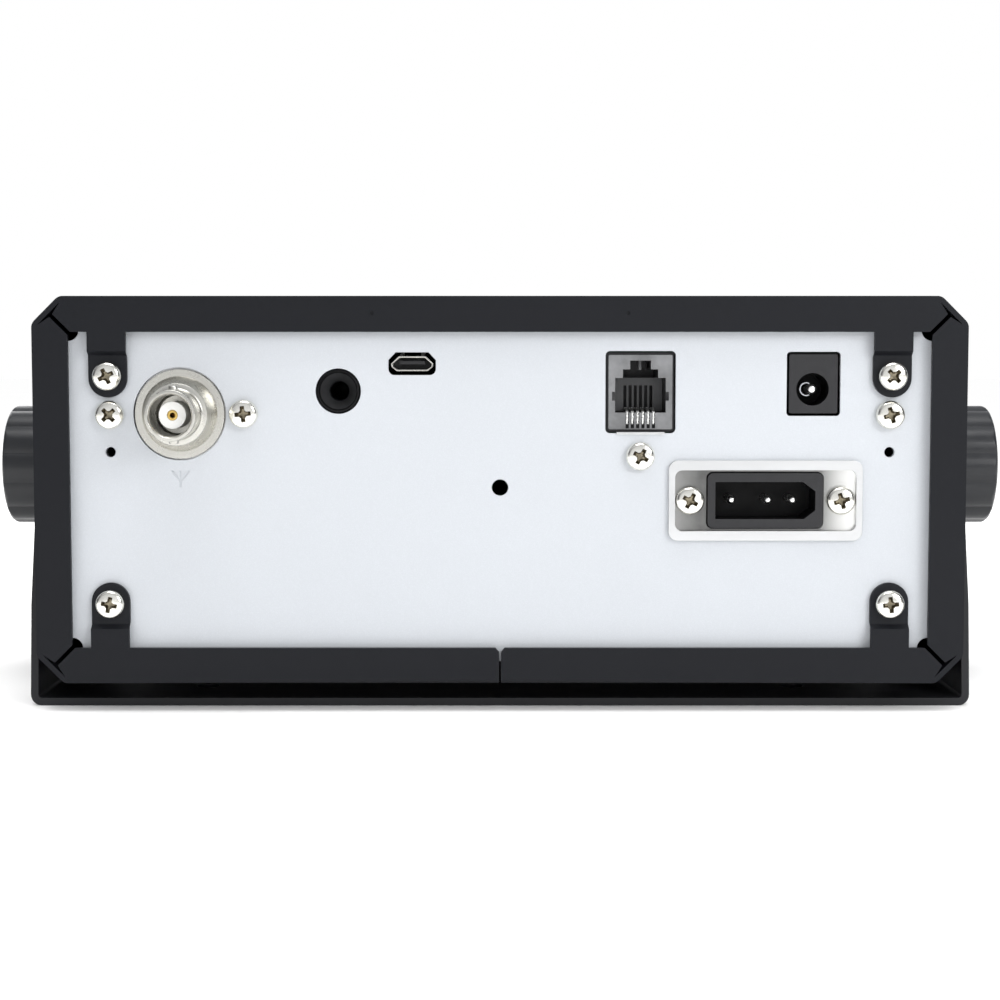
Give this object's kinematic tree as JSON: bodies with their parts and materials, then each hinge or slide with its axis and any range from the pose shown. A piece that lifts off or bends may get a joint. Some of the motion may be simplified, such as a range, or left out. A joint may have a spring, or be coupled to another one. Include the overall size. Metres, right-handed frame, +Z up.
{
  "type": "mobile transceiver",
  "caption": "Mobile radio transceiver in a bent sleeve with rear connector panel, tilting on a U bracket clamped by thumb knobs, with dial, keys and display in front.",
  "frame": {"origin": "centre of the bracket base's underside, below the tilt axis", "axes": "+X to the operator's right, -Y towards the operator (front), +Y to the connector side, +Z up"},
  "size_m": [0.2134, 0.1749, 0.0816],
  "materials": {
    "bracket_paint": "black satin powder coat",
    "sleeve_paint": "black satin powder coat",
    "panel_silver": "pale silver, smooth matt",
    "knob_plastic": "dark grey moulded nylon",
    "screw_nickel": "nickel plated",
    "zinc_steel": "zinc plated",
    "jack_nickel": "bright nickel plating",
    "plate_nickel": "stamped and nickel plated",
    "contact_gold": "thin gold plating",
    "pin_tin": "tin plated",
    "ptfe": "white PTFE",
    "jack_black": "black moulding, matt",
    "jack_smoke": "smoke grey moulding",
    "front_plastic": "black, finely textured",
    "key_plastic": "dark grey, satin",
    "power_key_plastic": "dark red, satin",
    "dial_plastic": "black, satin",
    "lens_smoke": "smoked window, polished",
    "display_cell": "liquid crystal cell, unlit",
    "light_lens": "green diffusing lens",
    "rubber_black": "friction rubber",
    "keypad_rubber": "silicone rubber",
    "board_green": "solder mask",
    "part_black": "moulded component bodies",
    "chassis_aluminium": "bright rolled sheet",
    "speaker_cone": "paper cone on steel frame",
    "ribbon_grey": "flat ribbon cable"
  },
  "bodies": {
    "bracket": {"bracket": "bracket_paint"},
    "transceiver": {"pivot_pads": "rubber_black", "pivot_nuts": "zinc_steel", "case_sleeve": "sleeve_paint", "sleeve_screws": "screw_nickel", "rear_panel": "panel_silver", "chassis": "chassis_aluminium", "panel_screws": "screw_nickel", "main_board": "board_green", "board_screws": "screw_nickel", "board_parts": "part_black", "rf_shield": "pin_tin", "power_module": "part_black", "antenna_plate": "plate_nickel", "antenna_jack": "jack_nickel", "antenna_insulator": "ptfe", "antenna_contact": "contact_gold", "audio_jack": "jack_black", "usb_shell": "jack_nickel", "usb_tongue": "jack_black", "modular_jack": "jack_smoke", "modular_contacts": "pin_tin", "dc_jack": "jack_black", "dc_pin": "pin_tin", "power_inlet": "jack_black", "power_pins": "pin_tin", "power_plate": "plate_nickel", "power_screws": "screw_nickel", "front_panel": "front_plastic", "front_screws": "screw_nickel", "front_board": "board_green", "display_lens": "lens_smoke", "display_module": "display_cell", "keypad_mat": "keypad_rubber", "status_light": "light_lens", "dial_encoder": "zinc_steel", "level_controls": "zinc_steel", "speaker": "speaker_cone", "ribbon_cable": "ribbon_grey"},
    "left_washer": {"left_knob_washer": "zinc_steel"},
    "right_washer": {"right_knob_washer": "zinc_steel"},
    "left_thumb_knob": {"left_knob": "knob_plastic", "left_knob_screw": "zinc_steel"},
    "right_thumb_knob": {"right_knob": "knob_plastic", "right_knob_screw": "zinc_steel"},
    "main_dial": {"dial": "dial_plastic", "dial_shaft": "zinc_steel"},
    "volume": {"volume_knob": "dial_plastic", "volume_shaft": "zinc_steel"},
    "squelch": {"squelch_knob": "dial_plastic", "squelch_shaft": "zinc_steel"},
    "power_button": {"power_key": "power_key_plastic"},
    "function_key_1": {"key_1": "key_plastic"},
    "function_key_2": {"key_2": "key_plastic"},
    "function_key_3": {"key_3": "key_plastic"},
    "function_key_4": {"key_4": "key_plastic"},
    "function_key_5": {"key_5": "key_plastic"},
    "function_key_6": {"key_6": "key_plastic"},
    "function_key_7": {"key_7": "key_plastic"},
    "function_key_8": {"key_8": "key_plastic"}
  },
  "joints": [
    {"name": "tilt", "type": "hinge", "parent": "bracket", "child": "transceiver", "pos_m": [0, 0, 0.0456], "axis": [-1, 0, 0], "range_deg": [-2.5, 4.5]},
    {"name": "left_knob_travel", "type": "slide", "parent": "transceiver", "child": "left_washer", "axis": [-1, 0, 0], "range_m": [0, 0.0061]},
    {"name": "left_knob_turn", "type": "hinge", "parent": "left_washer", "child": "left_thumb_knob", "pos_m": [0, 0, 0.0456], "axis": [-1, 0, 0], "range_deg": [0, 2700]},
    {"name": "right_knob_travel", "type": "slide", "parent": "transceiver", "child": "right_washer", "axis": [1, 0, 0], "range_m": [0, 0.0061]},
    {"name": "right_knob_turn", "type": "hinge", "parent": "right_washer", "child": "right_thumb_knob", "pos_m": [0, 0, 0.0456], "axis": [1, 0, 0], "range_deg": [0, 2700]},
    {"name": "dial_turn", "type": "hinge", "parent": "transceiver", "child": "main_dial", "pos_m": [0.062, -0.1, 0.05393], "axis": [0, 1, 0], "continuous": true},
    {"name": "volume_turn", "type": "hinge", "parent": "transceiver", "child": "volume", "pos_m": [0.05, -0.1, 0.02027], "axis": [0, 1, 0], "range_deg": [-140, 140]},
    {"name": "squelch_turn", "type": "hinge", "parent": "transceiver", "child": "squelch", "pos_m": [0.074, -0.1, 0.02027], "axis": [0, 1, 0], "range_deg": [-140, 140]},
    {"name": "function_key_1_press", "type": "slide", "parent": "transceiver", "child": "function_key_1", "axis": [0, 1, 0], "range_m": [0, 0.0006], "stiffness_N_per_m": 1500},
    {"name": "function_key_2_press", "type": "slide", "parent": "transceiver", "child": "function_key_2", "axis": [0, 1, 0], "range_m": [0, 0.0006], "stiffness_N_per_m": 1500},
    {"name": "function_key_3_press", "type": "slide", "parent": "transceiver", "child": "function_key_3", "axis": [0, 1, 0], "range_m": [0, 0.0006], "stiffness_N_per_m": 1500},
    {"name": "function_key_4_press", "type": "slide", "parent": "transceiver", "child": "function_key_4", "axis": [0, 1, 0], "range_m": [0, 0.0006], "stiffness_N_per_m": 1500},
    {"name": "function_key_5_press", "type": "slide", "parent": "transceiver", "child": "function_key_5", "axis": [0, 1, 0], "range_m": [0, 0.0006], "stiffness_N_per_m": 1500},
    {"name": "function_key_6_press", "type": "slide", "parent": "transceiver", "child": "function_key_6", "axis": [0, 1, 0], "range_m": [0, 0.0006], "stiffness_N_per_m": 1500},
    {"name": "function_key_7_press", "type": "slide", "parent": "transceiver", "child": "function_key_7", "axis": [0, 1, 0], "range_m": [0, 0.0006], "stiffness_N_per_m": 1500},
    {"name": "function_key_8_press", "type": "slide", "parent": "transceiver", "child": "function_key_8", "axis": [0, 1, 0], "range_m": [0, 0.0006], "stiffness_N_per_m": 1500},
    {"name": "power_button_press", "type": "slide", "parent": "transceiver", "child": "power_button", "axis": [0, 1, 0], "range_m": [0, 0.0006], "stiffness_N_per_m": 1500}
  ],
  "couplings": [
    {"joint": "left_knob_travel", "follows": "left_knob_turn", "m_per_rad": 0.00012732},
    {"joint": "right_knob_travel", "follows": "right_knob_turn", "m_per_rad": 0.00012732}
  ]
}
